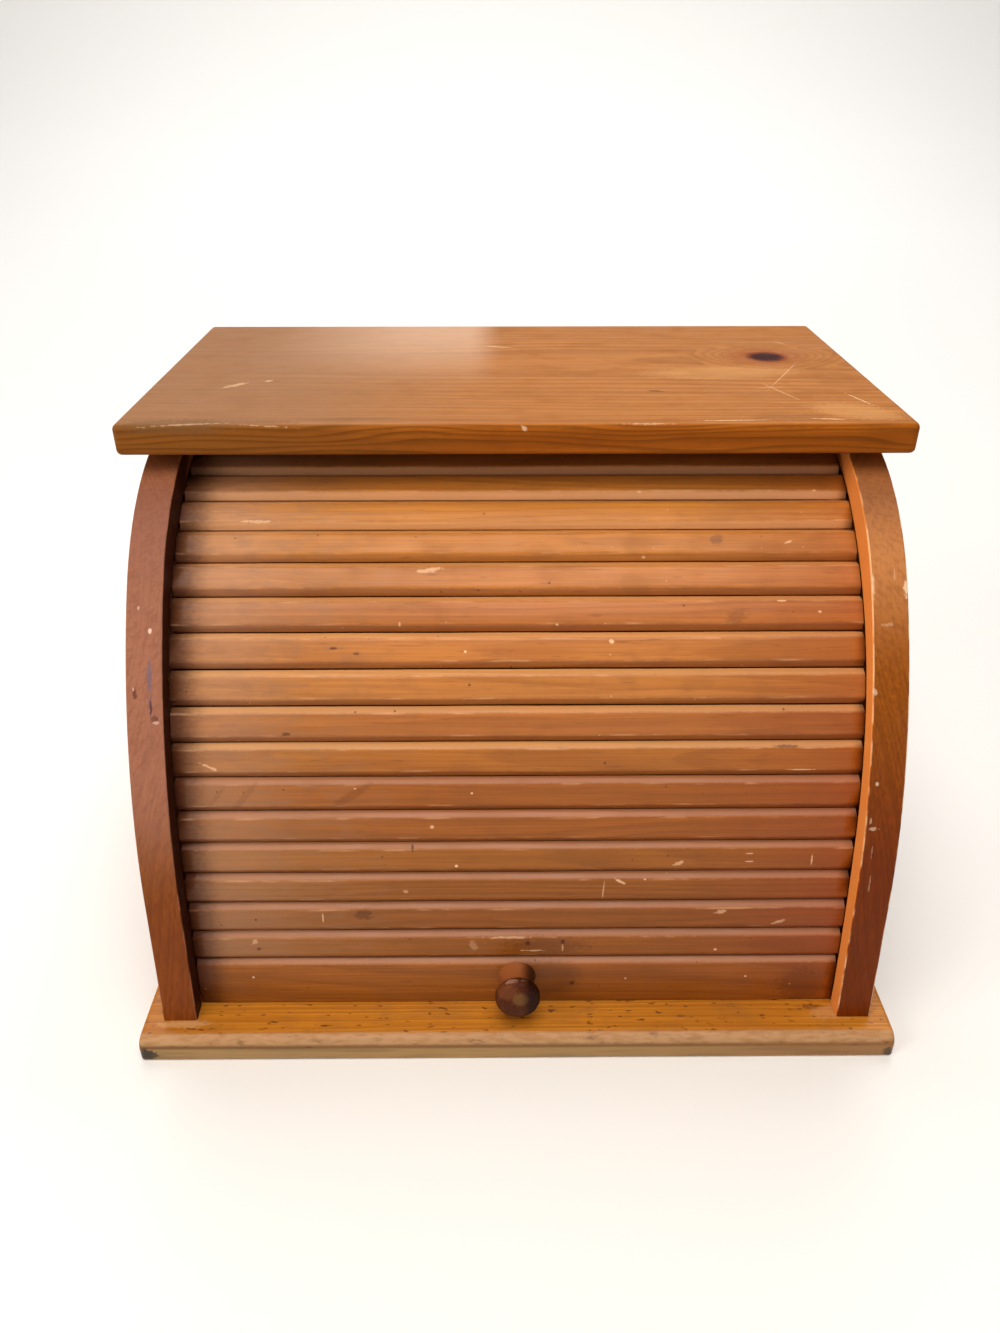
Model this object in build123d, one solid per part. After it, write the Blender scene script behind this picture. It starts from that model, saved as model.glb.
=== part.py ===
"""Roll-top bread box in varnished pine, with a tambour front that runs in grooves in the side panels.

Millimetres, +Z up, the front faces -Y. The origin is on the floor under the middle of the base board.
"""
from build123d import *
from math import cos, degrees, radians, sin
import os

# Boards
overall_width = 432.0          # of the base board
base_depth = 371.0
base_thickness = 15.5
base_front_round = 7.5
base_side_round = 2.5
top_width = 430.4
top_depth = 228.0
top_thickness = 17.0
top_edge_round = 3.5
top_under_round = 2.6
top_corner_round = 3.6
board_edge_ease = 1.2

# Side panels
panel_thickness = 19.3
board_overhang = 11.4          # how far the base board stands out past each panel
panel_front_setback = 15.2     # from the base board's front edge to the panel's foot
panel_edge_ease = 1.0
foot_lean = 82.0               # degrees from level: the foot of the front edge
foot_straight = 81.3
belly_radius = 338.4
belly_turn = 29.8              # degrees
shoulder_radius = 137.2        # turns on until the edge is level, under the top board

# Back panel, in a rebate of the side panels
back_thickness = 5.0
back_rebate = 8.0              # how far the rebate cuts into the panel's thickness
back_clearance = 0.3

# Tambour: sixteen slats and a lead rail, glued to a cloth
slat_count = 16
slat_pitch = 19.15
slat_gap = 0.7
slat_thickness = 8.5
slat_chamfer = 3.2
lead_rail_height = 30.0
rail_seat_gap = 0.2            # between the closed lead rail and the base board
slat_end_gap = 0.6             # between a slat's shoulder and the side panel
cloth_thickness = 0.8
cloth_width = 330.0
cloth_joint = 1.2              # between two cloth strips
tongue_thickness = 3.0
tongue_width = 8.0
tongue_setback = 4.2           # from the cloth face to the middle of the tongue
tongue_reach = 7.0             # how far a tongue enters its groove

# Groove: it follows the cloth line, from the foot, over the top and down inside the back
face_recess = 12.2             # from the panel's front edge to the lead rail's face
groove_width = 11.2
groove_depth = 8.0
line_lean = 84.0               # degrees from level at the foot
line_foot_radius = 1050.0      # the first run is almost straight
line_foot_beyond = 28.7        # how far it goes on past the straight foot of the panel's edge
line_belly_turn = 10.8         # degrees, at the radius of the panel's belly less the recess
line_ease_turn = 35.3          # degrees, of the tighter arc between the belly and the top
line_ease_share = 0.614        # its radius as a share of the belly arc's
line_over_turn = 137.7         # degrees, over the top and down the back
line_back_gap = 21.0           # from the back panel to the line where it is furthest back
line_tail = 30.0               # the last run is straight

# Knob
knob_height = 18.0             # of its axis above the lead rail's lower edge
knob_head_diameter = 25.4
knob_neck_diameter = 17.0
knob_foot_diameter = 21.5
knob_projection = 22.6
knob_head_thickness = 8.4
knob_dome_drop = 2.2           # from the tip down to where the dome would meet the rim
knob_crown_round = 3.8         # of the rim's upper arris
knob_under_round = 1.6         # of the rim's lower arris
knob_neck_flare = 1.5          # how much narrower the neck's top is than its foot, in radius
knob_screw_head_height = 2.2
knob_screw_head_round = 1.4

# Fasteners
screw_clearance = 0.15
knob_screw_diameter = 3.5
knob_screw_head = 7.5
knob_screw_length = 22.0
base_screw_diameter = 4.0
base_screw_head = 8.0
base_screw_length = 40.0
base_screw_rows = [-115.0, 20.0, 155.0]
dowel_diameter = 6.0
dowel_length = 24.0
dowel_shift = 3.6              # outwards from the middle of the panel, clear of the groove
dowel_rows = [5.0, 80.0, 160.0]
back_screw_diameter = 3.0
back_screw_head = 5.6
back_screw_length = 10.0
back_screw_count = 4
back_screw_margin = 30.0

# Worked out from the above
front_y = -base_depth / 2
back_y = base_depth / 2
panel_outer_x = overall_width / 2 - board_overhang
panel_inner_x = panel_outer_x - panel_thickness
panel_foot_y = front_y + panel_front_setback
tongue_tip_x = panel_inner_x + tongue_reach


def ahead(angle):
    """The direction of a line that rises at this many degrees from level, in the panel's plane."""
    return (cos(radians(angle)), sin(radians(angle)))


def trace_runs(start, angle, runs):
    """Straight runs and arcs, each tangent to the one before, with the point and angle where they end.

    A run is (length, radius). Arcs turn down towards the back, and a radius of None is a straight run.
    """
    edges = []
    for length, radius in runs:
        if radius is None:
            direction = ahead(angle)
            end = (start[0] + length * direction[0], start[1] + length * direction[1])
            edges.append(Line(start, end))
        else:
            turn = degrees(length / radius)
            arc = JernArc(start, ahead(angle), radius, -turn)
            edges.append(arc)
            end = (arc.end_of_arc.X, arc.end_of_arc.Y)
            angle -= turn
        start = end
    return edges, start, angle


def shift_runs(start, angle, runs, shift):
    """The same runs moved outwards by a distance, square to the line, so their arcs stay parallel."""
    moved_start = (start[0] - shift * sin(radians(angle)), start[1] + shift * cos(radians(angle)))
    moved = []
    for length, radius in runs:
        if radius is None:
            moved.append((length, None))
        else:
            moved.append((length * (radius + shift) / radius, radius + shift))
    return moved_start, moved


# The front edge of a side panel, in the panel's plane (Y, Z)
belly_length = radians(belly_turn) * belly_radius
shoulder_length = radians(foot_lean - belly_turn) * shoulder_radius
edge_runs = [(foot_straight, None), (belly_length, belly_radius), (shoulder_length, shoulder_radius)]
panel_foot = (panel_foot_y, base_thickness)
front_edge, panel_crown, crown_angle = trace_runs(panel_foot, foot_lean, edge_runs)
panel_top_z = panel_crown[1]
overall_height = panel_top_z + top_thickness

# The cloth line: the back face of the slats, along which their pitch is kept
cloth_recess = face_recess + slat_thickness
line_foot = (panel_foot_y + cloth_recess / sin(radians(foot_lean)), base_thickness)
belly_line_radius = belly_radius - cloth_recess
ease_radius = line_ease_share * belly_line_radius
front_runs = [(foot_straight + line_foot_beyond, line_foot_radius),
              (radians(line_belly_turn) * belly_line_radius, belly_line_radius),
              (radians(line_ease_turn) * ease_radius, ease_radius)]
ease_end, ease_angle = trace_runs(line_foot, line_lean, front_runs)[1:]
room_behind = back_y - back_thickness - line_back_gap - ease_end[0]
over_radius = room_behind / (1 + sin(radians(ease_angle)))
line_runs = front_runs + [(radians(line_over_turn) * over_radius, over_radius), (line_tail, None)]


def line_frame(distance, x=0.0):
    """A plane on the cloth line: its X runs up the line, its Y points out of the box, its Z along +X."""
    point = line_foot
    angle = line_lean
    left = distance
    for length, radius in line_runs:
        step = min(left, length)
        edges, point, angle = trace_runs(point, angle, [(step, radius)]) if step > 0 else ([], point, angle)
        left -= step
    up = ahead(angle)
    return Plane(origin=(x, point[0], point[1]), x_dir=(0, up[0], up[1]), z_dir=(1, 0, 0))


def box(low, high):
    """A box from its lowest to its highest corner."""
    size = [h - l for l, h in zip(low, high)]
    middle = [(l + h) / 2 for l, h in zip(low, high)]
    return Pos(*middle) * Box(*size)


def countersunk_screw(diameter, head, length):
    """A countersunk screw along -Z with its flat head face at Z = 0."""
    cone = (head - diameter) / 2
    point = diameter / 2
    outline = Polyline((0, 0), (head / 2, 0), (diameter / 2, -cone), (diameter / 2, point - length),
                       (0, -length), close=True)
    return revolve(Plane.XZ * make_face(outline), axis=Axis.Z)


def screw_hole(diameter, head, length):
    """The hole that a countersunk screw sits in, a clearance larger all round."""
    return countersunk_screw(diameter + 2 * screw_clearance, head + 2 * screw_clearance, length + screw_clearance)


base_screw_places = [Pos(side * (panel_inner_x + panel_thickness / 2), y, 0) * Rot(180, 0, 0)
                     for side in (-1, 1) for y in base_screw_rows]
dowel_places = [Pos(side * (panel_inner_x + panel_thickness / 2 + dowel_shift), y, panel_top_z)
                for side in (-1, 1) for y in dowel_rows]
back_screw_span = panel_top_z - base_thickness - 2 * back_screw_margin
back_screw_places = [Pos(side * (panel_inner_x + back_rebate / 2), back_y,
                         base_thickness + back_screw_margin + i * back_screw_span / (back_screw_count - 1))
                     * Rot(-90, 0, 0)
                     for side in (-1, 1) for i in range(back_screw_count)]


def all_at(places, shape):
    """Copies of a shape at each place."""
    return [place * shape for place in places]


def make_base_board():
    """The wide board that the box stands on, with its top front edge rounded over."""
    board = box((-overall_width / 2, front_y, 0), (overall_width / 2, back_y, base_thickness))
    top_face = board.faces().sort_by(Axis.Z)[-1]
    front = top_face.edges().filter_by(Axis.X).sort_by(Axis.Y)[0]
    board = fillet(front, base_front_round)
    ends = [edge for face in board.faces().filter_by(Axis.X)
            for edge in face.edges()
            if edge.center().Z > base_thickness / 4 and edge.center().Y < back_y - 1]
    board = fillet(ends, base_side_round)
    bottom_edges = board.faces().sort_by(Axis.Z)[0].edges()
    board = chamfer(bottom_edges, board_edge_ease)
    for hole in all_at(base_screw_places, screw_hole(base_screw_diameter, base_screw_head, base_screw_length)):
        board -= hole
    return board


def dowel_hole():
    """A hole for half a dowel each way from Z = 0."""
    return Cylinder(dowel_diameter / 2 + screw_clearance, dowel_length + 2 * screw_clearance)


def make_top_board():
    """The wide board on top, with all its long edges softly rounded."""
    board = box((-top_width / 2, back_y - top_depth, panel_top_z),
                (top_width / 2, back_y, overall_height))
    board = fillet(board.edges().filter_by(Axis.Z), top_corner_round)
    board = fillet(board.faces().sort_by(Axis.Z)[-1].edges(), top_edge_round)
    board = fillet(board.faces().sort_by(Axis.Z)[0].edges(), top_under_round)
    for hole in all_at(dowel_places, dowel_hole()):
        board -= hole
    return board


def make_groove(side):
    """The routed groove of one panel as a solid to cut away."""
    out_shift = tongue_setback + groove_width / 2
    in_shift = tongue_setback - groove_width / 2
    start_below = 25.0
    down = ahead(line_lean)
    low = (line_foot[0] - start_below * down[0], line_foot[1] - start_below * down[1])
    runs = [(start_below, None)] + line_runs
    out_start, out_runs = shift_runs(low, line_lean, runs, out_shift)
    in_start, in_runs = shift_runs(low, line_lean, runs, in_shift)
    out_edges, out_end, _ = trace_runs(out_start, line_lean, out_runs)
    in_edges, in_end, _ = trace_runs(in_start, line_lean, in_runs)
    outline = out_edges + in_edges + [Line(out_start, in_start), Line(out_end, in_end)]
    face = make_face(outline)
    groove = extrude(Plane.YZ.offset(panel_inner_x) * face, groove_depth)
    return groove if side > 0 else mirror(groove, Plane.YZ)


def make_side_panel(side):
    """A side panel: curved front edge, routed groove, rebate for the back, screw and dowel holes."""
    back_top = (back_y, panel_top_z)
    back_foot = (back_y, base_thickness)
    outline = front_edge + [Line(panel_crown, back_top), Line(back_top, back_foot), Line(back_foot, panel_foot)]
    panel = extrude(Plane.YZ.offset(panel_inner_x) * make_face(outline), panel_thickness)
    crown_y = panel_crown[0] - board_edge_ease
    front_edges = [edge for edge in panel.edges()
                   if edge.center().Y < crown_y and edge.bounding_box().size.X < panel_edge_ease
                   and edge.center().Z > base_thickness + panel_edge_ease]
    panel = fillet(front_edges, panel_edge_ease)
    if side < 0:
        panel = mirror(panel, Plane.YZ)
    panel -= make_groove(side)
    rebate_low = (panel_inner_x - 1, back_y - back_thickness, 0)
    rebate_high = (panel_inner_x + back_rebate, back_y + 1, overall_height)
    rebate = box(rebate_low, rebate_high)
    panel -= rebate if side > 0 else mirror(rebate, Plane.YZ)
    for hole in all_at(base_screw_places, screw_hole(base_screw_diameter, base_screw_head, base_screw_length)):
        panel -= hole
    for hole in all_at(dowel_places, dowel_hole()):
        panel -= hole
    for hole in all_at(back_screw_places, screw_hole(back_screw_diameter, back_screw_head, back_screw_length)):
        panel -= hole
    return panel


def make_back_panel():
    """Thin plywood, let into the rebates and standing on the base board."""
    half = panel_inner_x + back_rebate - back_clearance
    panel = box((-half, back_y - back_thickness, base_thickness),
                (half, back_y, panel_top_z))
    for hole in all_at(back_screw_places, screw_hole(back_screw_diameter, back_screw_head, back_screw_length)):
        panel -= hole
    return panel


def tongue_pair(frame):
    """The two tongues of a slat as one bar with round ends, from groove to groove."""
    section = SlotOverall(tongue_width, tongue_thickness)
    return extrude(frame * Pos(0, tongue_setback) * section, 2 * tongue_tip_x)


def make_slat(index):
    """A slat: both face arrises chamfered, a tongue on each end."""
    distance = lead_rail_height + slat_pitch * (slat_count - index + 0.5)
    half = (slat_pitch - slat_gap) / 2
    shoulder_x = panel_inner_x - slat_end_gap
    outline = Polyline((-half, 0), (half, 0), (half, slat_thickness - slat_chamfer),
                       (half - slat_chamfer, slat_thickness), (slat_chamfer - half, slat_thickness),
                       (-half, slat_thickness - slat_chamfer), close=True)
    body = extrude(line_frame(distance, -shoulder_x) * make_face(outline), 2 * shoulder_x)
    return body + tongue_pair(line_frame(distance, -tongue_tip_x))


def make_cloth(distance, height):
    """A strip of the cloth backing behind one slat."""
    half = (height - cloth_joint) / 2
    outline = Polyline((-half, -cloth_thickness), (half, -cloth_thickness), (half, 0), (-half, 0), close=True)
    return extrude(line_frame(distance, -cloth_width / 2) * make_face(outline), cloth_width)


rail_middle = lead_rail_height / 2
knob_axis = knob_height - rail_middle


def knob_place():
    """The knob's axis: Z points out of the lead rail's face, from the cloth line."""
    frame = line_frame(rail_middle)
    return Plane(origin=frame.origin + frame.x_dir * knob_axis, x_dir=(1, 0, 0), z_dir=frame.y_dir)


def knob_screw_hole():
    """The knob screw's hole through rail and cloth, and into the knob."""
    return Pos(0, 0, knob_screw_length / 2) * Cylinder(knob_screw_diameter / 2 + screw_clearance,
                                                      knob_screw_length + 2 * cloth_thickness)


def make_lead_rail():
    """The taller bottom rail: chamfered along its top only, its foot planed to sit flat on the base."""
    half = lead_rail_height / 2
    top = half - slat_gap / 2
    shoulder_x = panel_inner_x - slat_end_gap
    outline = Polyline((-half - slat_thickness, 0), (top, 0), (top, slat_thickness - slat_chamfer),
                       (top - slat_chamfer, slat_thickness), (-half - slat_thickness, slat_thickness), close=True)
    rail = extrude(line_frame(rail_middle, -shoulder_x) * make_face(outline), 2 * shoulder_x)
    floor = base_thickness + rail_seat_gap
    rail -= box((-overall_width, front_y, floor - base_depth), (overall_width, back_y, floor))
    rail += tongue_pair(line_frame(rail_middle, -tongue_tip_x))
    return rail - knob_place() * knob_screw_hole()


def make_lead_cloth():
    """The strip of cloth behind the lead rail, pierced for the knob screw."""
    half = lead_rail_height / 2
    outline = Polyline((cloth_joint - half, -cloth_thickness), (half - cloth_joint / 2, -cloth_thickness),
                       (half - cloth_joint / 2, 0), (cloth_joint - half, 0), close=True)
    cloth = extrude(line_frame(rail_middle, -cloth_width / 2) * make_face(outline), cloth_width)
    return cloth - knob_place() * knob_screw_hole()


def round_rim(profile, radius, height, rounding):
    """The knob's half profile with its corner at this radius and height rounded."""
    corner = profile.vertices().sort_by_distance((radius, height))[0]
    return fillet(corner, rounding)


def make_knob():
    """A turned mushroom knob: foot, waisted neck and domed head."""
    foot = slat_thickness
    tip = slat_thickness + knob_projection
    head = tip - knob_head_thickness
    head_r = knob_head_diameter / 2
    neck_r = knob_neck_diameter / 2
    foot_r = knob_foot_diameter / 2
    neck_top_r = foot_r - knob_neck_flare
    rim_top = tip - knob_dome_drop
    dome_radius = (head_r ** 2 + knob_dome_drop ** 2) / (2 * knob_dome_drop)
    profile = make_face([Line((0, foot), (foot_r, foot)),
                         ThreePointArc((foot_r, foot), (neck_r, (foot + head) / 2), (neck_top_r, head)),
                         Line((neck_top_r, head), (head_r, head)),
                         Line((head_r, head), (head_r, rim_top)),
                         RadiusArc((head_r, rim_top), (0, tip), -dome_radius),
                         Line((0, tip), (0, foot))])
    profile = round_rim(profile, head_r, rim_top, knob_crown_round)
    profile = round_rim(profile, head_r, head, knob_under_round)
    knob = revolve(Plane.XZ * profile, axis=Axis.Z)
    return knob_place() * (knob - knob_screw_hole())


def make_knob_screw():
    """A round-headed screw from inside the box, through cloth and rail into the knob."""
    head = Pos(0, 0, -cloth_thickness) * Rot(180, 0, 0) * Cylinder(
        knob_screw_head / 2, knob_screw_head_height, align=(Align.CENTER, Align.CENTER, Align.MIN))
    head = fillet(head.edges().filter_by(GeomType.CIRCLE).sort_by(Axis.Z)[0], knob_screw_head_round)
    shank = Pos(0, 0, -cloth_thickness) * Cylinder(
        knob_screw_diameter / 2, knob_screw_length, align=(Align.CENTER, Align.CENTER, Align.MIN))
    return knob_place() * (head + shank)


def print_sizes():
    """Print what a maker would check on the drawing."""
    top = line_frame(lead_rail_height + slat_pitch * slat_count).origin
    print(f"overall {overall_width:.1f} x {base_depth:.1f} x {overall_height:.1f}")
    print(f"panel crown at Y {panel_crown[0]:.1f}, Z {panel_top_z:.1f}")
    print(f"tambour ends at Y {top.Y:.1f}, Z {top.Z:.1f}")
    print("cloth line runs:", ", ".join(f"{length:.2f} at {radius or 0:.2f}" for length, radius in line_runs))


parts = {
    "base_board": make_base_board(),
    "top_board": make_top_board(),
    "left_side_panel": make_side_panel(-1),
    "right_side_panel": make_side_panel(1),
    "back_panel": make_back_panel(),
    "base_screws": Compound(all_at(base_screw_places,
                                   countersunk_screw(base_screw_diameter, base_screw_head, base_screw_length))),
    "top_dowels": Compound(all_at(dowel_places, Cylinder(dowel_diameter / 2, dowel_length))),
    "back_screws": Compound(all_at(back_screw_places,
                                   countersunk_screw(back_screw_diameter, back_screw_head, back_screw_length))),
    "lead_rail": make_lead_rail(),
    "lead_cloth": make_lead_cloth(),
    "knob": make_knob(),
    "knob_screw": make_knob_screw(),
}
for number in range(1, slat_count + 1):
    parts[f"slat_{number:02d}"] = make_slat(number)
    parts[f"cloth_{number:02d}"] = make_cloth(lead_rail_height + slat_pitch * (slat_count - number + 0.5),
                                              slat_pitch)

print_sizes()
os.makedirs("parts", exist_ok=True)
for name, shape in parts.items():
    export_step(shape, f"parts/{name}.step")
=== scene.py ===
# %% [markdown]
# A roll-top bread box in varnished pine. The boards, slats, knob and fasteners come from a packed
# construction model, in metres, with +Z up and the front facing -Y. This lesson gives each piece its
# finish: honey-coloured pine with growth rings, a satin varnish that has worn through on the arrises,
# and the small marks of a box that has stood in a kitchen for years.

from math import cos, pi, radians, sin

import bmesh
import bpy
from mathutils import Matrix, Vector, noise


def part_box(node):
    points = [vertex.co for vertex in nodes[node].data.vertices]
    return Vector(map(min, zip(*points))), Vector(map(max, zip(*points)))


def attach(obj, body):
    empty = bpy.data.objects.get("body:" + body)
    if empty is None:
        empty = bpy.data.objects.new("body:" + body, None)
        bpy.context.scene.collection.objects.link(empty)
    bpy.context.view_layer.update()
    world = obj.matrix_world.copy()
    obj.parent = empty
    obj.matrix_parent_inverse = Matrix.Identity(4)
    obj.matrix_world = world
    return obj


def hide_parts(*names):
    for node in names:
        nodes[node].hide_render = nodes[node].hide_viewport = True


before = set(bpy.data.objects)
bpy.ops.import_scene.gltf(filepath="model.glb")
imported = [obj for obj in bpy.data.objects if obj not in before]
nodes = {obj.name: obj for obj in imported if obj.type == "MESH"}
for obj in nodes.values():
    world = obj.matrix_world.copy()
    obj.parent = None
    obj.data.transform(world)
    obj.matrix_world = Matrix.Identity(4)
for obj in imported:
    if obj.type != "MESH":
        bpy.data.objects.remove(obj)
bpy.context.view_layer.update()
mm = 0.001

# %% [markdown]
# A few small helpers serve every finish. The first turns an sRGB hex colour into the linear values that
# the shaders work in. The next two feed a node its inputs, and add one with its settings, so that a
# material reads from top to bottom. Then one starts a new material, and the rest do sums with it.

# %% Helpers for materials


def linear(hex_colour):
    """An sRGB hex colour as linear RGBA."""
    channels = [int(hex_colour[i:i + 2], 16) / 255 for i in (1, 3, 5)]
    return tuple([c / 12.92 if c <= 0.04045 else ((c + 0.055) / 1.055) ** 2.4 for c in channels] + [1.0])


def feed(tree, node, inputs):
    """Give a node its inputs, which are values or the sockets that feed it."""
    for key, value in inputs.items():
        if isinstance(value, bpy.types.NodeSocket):
            tree.links.new(value, node.inputs[key])
        else:
            node.inputs[key].default_value = value


def add(tree, kind, inputs=None, **settings):
    """One node with its settings and its inputs."""
    node = tree.nodes.new("ShaderNode" + kind)
    for name, value in settings.items():
        setattr(node, name, value)
    feed(tree, node, inputs or {})
    return node


def new_material(name):
    """An empty material with its tree and its surface shader."""
    material = bpy.data.materials.new(name)
    material.use_nodes = True
    tree = material.node_tree
    return material, tree, tree.nodes["Principled BSDF"]


def calc(tree, operation, first, second=0.0, kind="Math"):
    """One sum of two values, or of two vectors where the kind is VectorMath."""
    return add(tree, kind, {0: first, 1: second}, operation=operation).outputs[0]


def soft_step(tree, value, low, high):
    """0 at low, 1 at high, smooth in between. Low may be above high."""
    if low > high:
        return calc(tree, "SUBTRACT", 1.0, soft_step(tree, value, high, low))
    return add(tree, "MapRange", {"Value": value, "From Min": low, "From Max": high},
               interpolation_type="SMOOTHSTEP").outputs[0]


def times(tree, first, *others):
    """The product of several values, mostly masks."""
    for other in others:
        first = calc(tree, "MULTIPLY", first, other)
    return first


def over(tree, amount, under, colour, blend="MIX"):
    """So much of a colour laid over the one under it, or multiplied into it."""
    return add(tree, "Mix", {0: amount, 6: under, 7: colour}, data_type="RGBA", blend_type=blend).outputs[2]


def part_of(tree, local, axis):
    """One of the three local coordinates."""
    return add(tree, "SeparateXYZ", {"Vector": local}).outputs[axis]


def paint(obj, material):
    """Give every face of a piece one material."""
    obj.data.materials.clear()
    obj.data.materials.append(material)


print("helpers ready; white is", linear("#ffffff"))

# %% [markdown]
# The photograph was taken from in front and above, a little left of the middle. A camera is a place, a
# direction and a focal length. The focal length is known in pixels of the 1000 x 1333 frame, and Blender
# wants it as millimetres on a 36 mm sensor that spans the longer side.

# %% Camera
frame_height_px = 1333
focal_px = 1010
sensor_mm = 36
camera_place = Vector((-12.97, -565.31, 493.65)) * mm
camera_down = radians(31.217)
camera_turn = radians(0.425)

camera_data = bpy.data.cameras.new("camera")
camera_data.sensor_width = sensor_mm
camera_data.lens = focal_px / frame_height_px * sensor_mm
camera = bpy.data.objects.new("camera", camera_data)
camera.location = camera_place
camera.rotation_euler = (pi / 2 - camera_down, 0, -camera_turn)
bpy.context.scene.collection.objects.link(camera)
bpy.context.scene.camera = camera
print("camera lens", round(camera_data.lens, 2), "mm")

# %% [markdown]
# The floor is a plain pale sweep, as in a photographer's studio: level under the box, and curved up to a
# low wall far behind it, so that no horizon shows. The function that turns a bmesh into an object serves
# the box's own pieces later.

# %% Floor
floor_reach = 30.0                # in metres, like the two below
floor_gap = 0.02 * mm             # below the box, so that their faces don't coincide
sweep_start = 3.0
sweep_radius = 1.2


def new_piece(name, bm, smooth=False):
    """A new object from a bmesh. Its faces keep the shading they have, or are all shaded smooth."""
    mesh = bpy.data.meshes.new(name)
    bm.to_mesh(mesh)
    bm.free()
    if smooth:
        for polygon in mesh.polygons:
            polygon.use_smooth = True
    piece = bpy.data.objects.new(name, mesh)
    bpy.context.scene.collection.objects.link(piece)
    return piece


floor_bm = bmesh.new()
near = [floor_bm.verts.new((x, -floor_reach, -floor_gap)) for x in (-floor_reach, floor_reach)]
level = bmesh.ops.extrude_edge_only(floor_bm, edges=[floor_bm.edges.new(near)])["geom"]
far = [item for item in level if isinstance(item, bmesh.types.BMVert)]
bmesh.ops.translate(floor_bm, verts=far, vec=(0, floor_reach + sweep_start, 0))
far_edge = [item for item in level if isinstance(item, bmesh.types.BMEdge)]
bmesh.ops.spin(floor_bm, geom=far + far_edge, cent=(0, sweep_start, sweep_radius), axis=(1, 0, 0),
               angle=pi / 2, steps=24, use_merge=False)
bmesh.ops.recalc_face_normals(floor_bm, faces=floor_bm.faces)
floor = new_piece("floor", floor_bm, smooth=True)
floor_material, floor_tree, floor_shader = new_material("pale_matt_floor")
feed(floor_tree, floor_shader, {"Base Color": linear("#e3e1de"), "Roughness": 0.9, "Specular IOR Level": 0.2})
paint(floor, floor_material)
print("floor", [round(v, 1) for v in floor.dimensions], "m, with", len(floor.data.polygons), "faces")

# %% [markdown]
# The light is a kitchen window to the left and a bright ceiling. The ceiling gives the level and upturned
# faces more light than the upright ones, and a low, weak light from the room in front reaches the slats
# that stand under the top board. A large lamp far behind the box keeps the ground there as pale as in
# front. Warmth is in the wood, so the lamps stay nearly neutral.

# %% Light
middle = (0, 0, 0.16)             # of the box, in metres, where the lamps aim
sky_strength = 0.18


def area_lamp(name, place, target, size, watts, colour):
    """A square area lamp at a place, aimed at a target."""
    data = bpy.data.lights.new(name, "AREA")
    data.size = size
    data.energy = watts
    data.color = linear(colour)[:3]
    lamp = bpy.data.objects.new(name, data)
    lamp.location = place
    lamp.rotation_euler = (Vector(target) - Vector(place)).to_track_quat("-Z", "Y").to_euler()
    bpy.context.scene.collection.objects.link(lamp)
    return lamp


area_lamp("window_left", (-2.1, -1.3, 1.5), middle, 1.4, 34, "#fff6ee")
area_lamp("ceiling", (0.0, -0.75, 2.2), middle, 1.5, 43, "#fff8f0")
area_lamp("room_in_front", (0.3, -2.4, 0.55), middle, 1.5, 10, "#fff6ee")
area_lamp("floor_behind", (0, 3.2, 3.4), (0, 2.9, 0), 4.2, 190, "#ffffff")
world = bpy.data.worlds.new("studio")
world.use_nodes = True
feed(world.node_tree, world.node_tree.nodes["Background"],
     {"Color": linear("#f6f4f1"), "Strength": sky_strength})
bpy.context.scene.world = world
bpy.context.scene.view_settings.view_transform = "Standard"

# %% [markdown]
# Each board lies at its own angle, and its grain runs along it. A finish therefore works in the piece's
# own coordinates: X along the grain, Y across the face, and Z out of the face. A Mapping node of the
# TEXTURE kind turns object coordinates into these, given the place and the turn of the piece. For a slat
# both are read from its mesh: its back, which is glued to the canvas, is its largest flat face.

# %% Places of the pieces


def board_place(name):
    """The middle of a board that lies level, with no turn."""
    low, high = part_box(name)
    return (low + high) / 2, (0.0, 0.0, 0.0)


def slat_place(name):
    """The middle of a slat's back and its turn about X, so that local Z points out of the box."""
    groups = {}
    for polygon in nodes[name].data.polygons:
        normal = polygon.normal
        if abs(normal.x) < 0.01:
            key = (round(normal.y, 2), round(normal.z, 2))
            area, centre, _ = groups.get(key, (0.0, Vector(), None))
            groups[key] = (area + polygon.area, centre + polygon.area * polygon.center, normal.copy())
    area, centre, normal = max(groups.values(), key=lambda group: group[0])
    outward = -normal
    turn = Vector((0, 0, 1)).angle(outward)
    return centre / area, (turn if outward.y < 0 else -turn, 0.0, 0.0)


def slat_to_frame(place):
    """The matrix that takes a slat's own coordinates into the frame."""
    return Matrix.Translation(place[0]) @ Matrix.Rotation(place[1][0], 4, "X")


slat_names = sorted(name for name in nodes if name.startswith("slat_"))
places = {name: slat_place(name) for name in slat_names + ["lead_rail"]}
for name in ("slat_01", "slat_16", "lead_rail"):
    print(name, "leans", round(places[name][1][0] * 180 / pi, 1), "degrees")

# %% [markdown]
# Pine shows three scales of figure. Growth rings are cylinders round the tree's pith, a few millimetres
# apart, with a dark latewood line at the end of each year. A board cut at a slight angle to the pith shows
# them as long flames. Inside them run fine fibres, and here and there a short dark resin canal. All of it
# is worked out in three dimensions, so that the end grain and the arrises agree with the face.

# %% The figure of pine
ring_wander = 11 * mm             # how far noise may shift a growth ring
year_wander = 1.6                 # how many rings noise may bunch or spread them by
year_change = 0.45                # how fast that noise changes, per ring
knot_years = 6.0                  # how many rings bend round a knot
knot_shape = (0.6, 1.0, 0.3)      # they bend further off along the grain and down into the board
knot_from, knot_to = 34 * mm, 6 * mm    # they start to bend at the first distance, and are bent at the second


def local_place(tree, place):
    """Coordinates along the grain, across the face and out of the face, in metres."""
    coordinates = add(tree, "TexCoord")
    return add(tree, "Mapping", {"Vector": coordinates.outputs["Object"], "Location": place[0],
                                 "Rotation": place[1]}, vector_type="TEXTURE").outputs["Vector"]


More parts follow.
